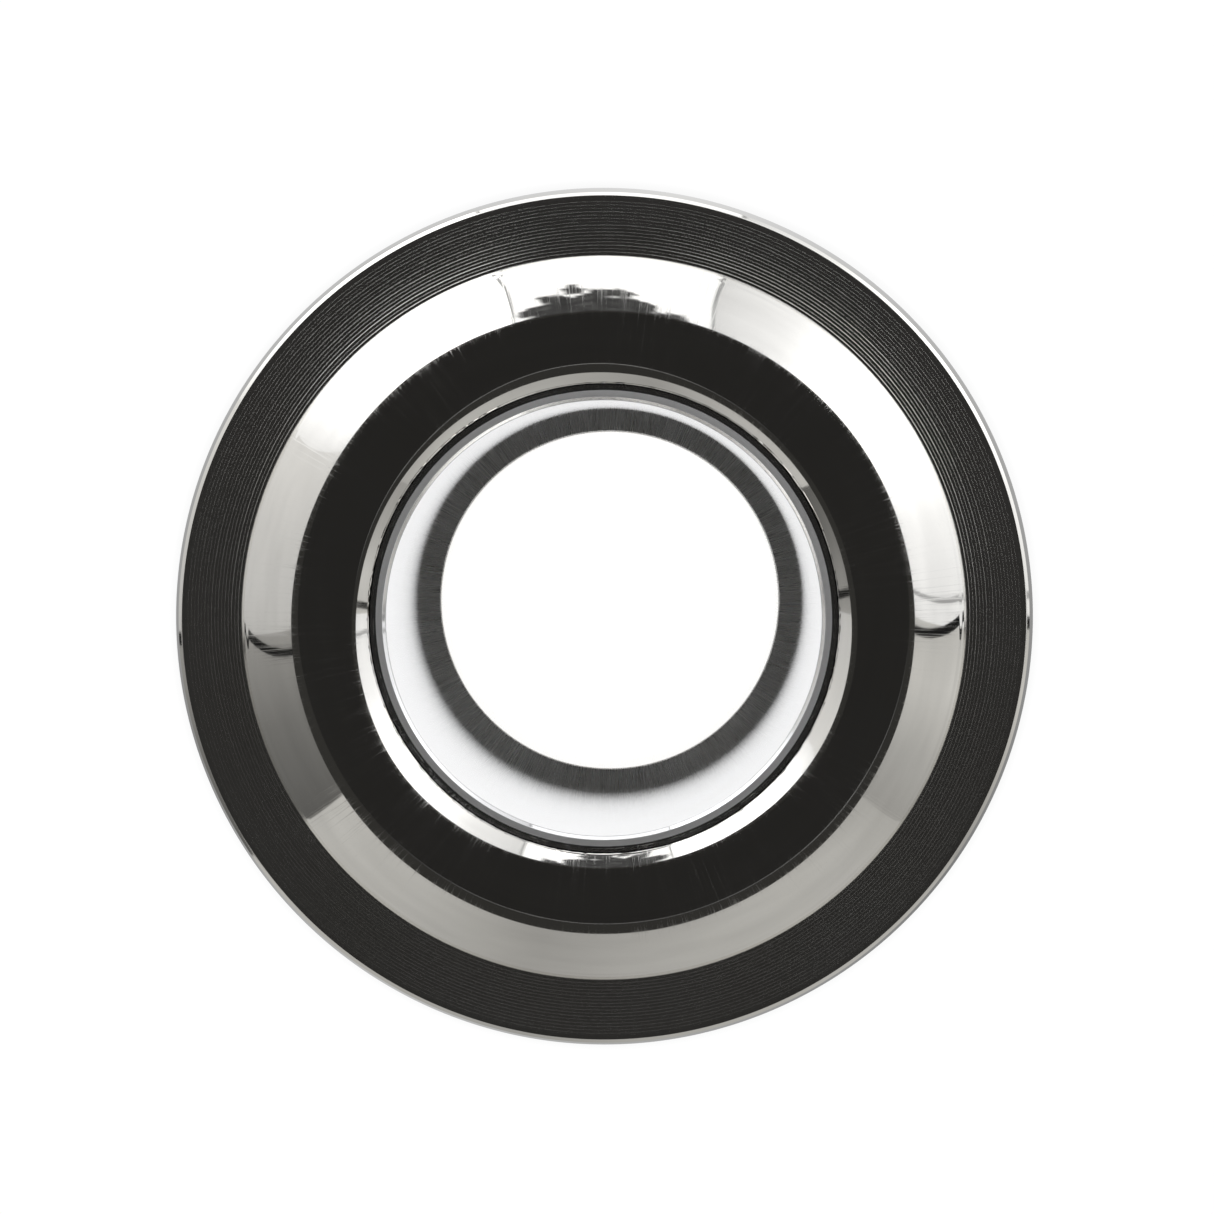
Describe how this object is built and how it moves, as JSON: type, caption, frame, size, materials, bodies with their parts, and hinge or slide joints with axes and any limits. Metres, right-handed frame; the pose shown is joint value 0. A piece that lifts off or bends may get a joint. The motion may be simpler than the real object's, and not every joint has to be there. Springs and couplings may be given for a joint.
{
  "type": "brass mouthpiece",
  "caption": "Wide-bore silver-plated mouthpiece: rounded screw-off lip rim on a turned body, straight polished bore, locking ring and plain tail spigot.",
  "frame": {"origin": "centre of the tail's end face, which is the bottom of the object", "axes": "+Z along the bore axis, from the tail to the lip rim; the part is round about Z"},
  "size_m": [0.0466, 0.0466, 0.054],
  "materials": {
    "plated_shank": "polished silver plate on brass",
    "plated_ring": "silver plate on brass, fluted grip",
    "fibre_washer": "matt red vulcanised fibre",
    "seal_rubber": "black nitrile rubber",
    "turned_body": "silver plate over fine lathe-turned grooves on the shoulder, polished sides",
    "bore_sleeve_metal": "polished bore, satin end face",
    "polished_rim": "hand-buffed mirror silver plate with fine buffing hairlines"
  },
  "bodies": {
    "tail": {"shank": "plated_shank"},
    "body_lifter": {"shank_o_ring": "seal_rubber"},
    "body": {"cup_body": "turned_body", "bore_sleeve": "bore_sleeve_metal", "sleeve_o_ring_lower": "seal_rubber", "sleeve_o_ring_upper": "seal_rubber"},
    "rim_lifter": {"rim_o_ring": "seal_rubber"},
    "rim": {"lip_rim": "polished_rim"},
    "lock_carrier": {"lock_washer": "fibre_washer"},
    "lock": {"lock_ring": "plated_ring"}
  },
  "joints": [
    {"name": "body_lift", "type": "slide", "parent": "tail", "child": "body_lifter", "axis": [0, 0, 1], "range_m": [0, 0.004]},
    {"name": "body_turn", "type": "hinge", "parent": "body_lifter", "child": "body", "pos_m": [0, 0, 0.03], "axis": [0, 0, 1], "range_deg": [0, 1440]},
    {"name": "rim_lift", "type": "slide", "parent": "body", "child": "rim_lifter", "axis": [0, 0, 1], "range_m": [0, 0.004]},
    {"name": "rim_turn", "type": "hinge", "parent": "rim_lifter", "child": "rim", "pos_m": [0, 0, 0.05], "axis": [0, 0, 1], "range_deg": [0, 1440]},
    {"name": "lock_drop", "type": "slide", "parent": "tail", "child": "lock_carrier", "axis": [0, 0, -1], "range_m": [0, 0.002]},
    {"name": "lock_turn", "type": "hinge", "parent": "lock_carrier", "child": "lock", "pos_m": [0, 0, 0.016], "axis": [0, 0, -1], "range_deg": [0, 720]}
  ],
  "couplings": [
    {"joint": "body_lift", "follows": "body_turn", "m_per_rad": 0.00015915},
    {"joint": "rim_lift", "follows": "rim_turn", "m_per_rad": 0.00015915},
    {"joint": "lock_drop", "follows": "lock_turn", "m_per_rad": 0.00015915}
  ]
}
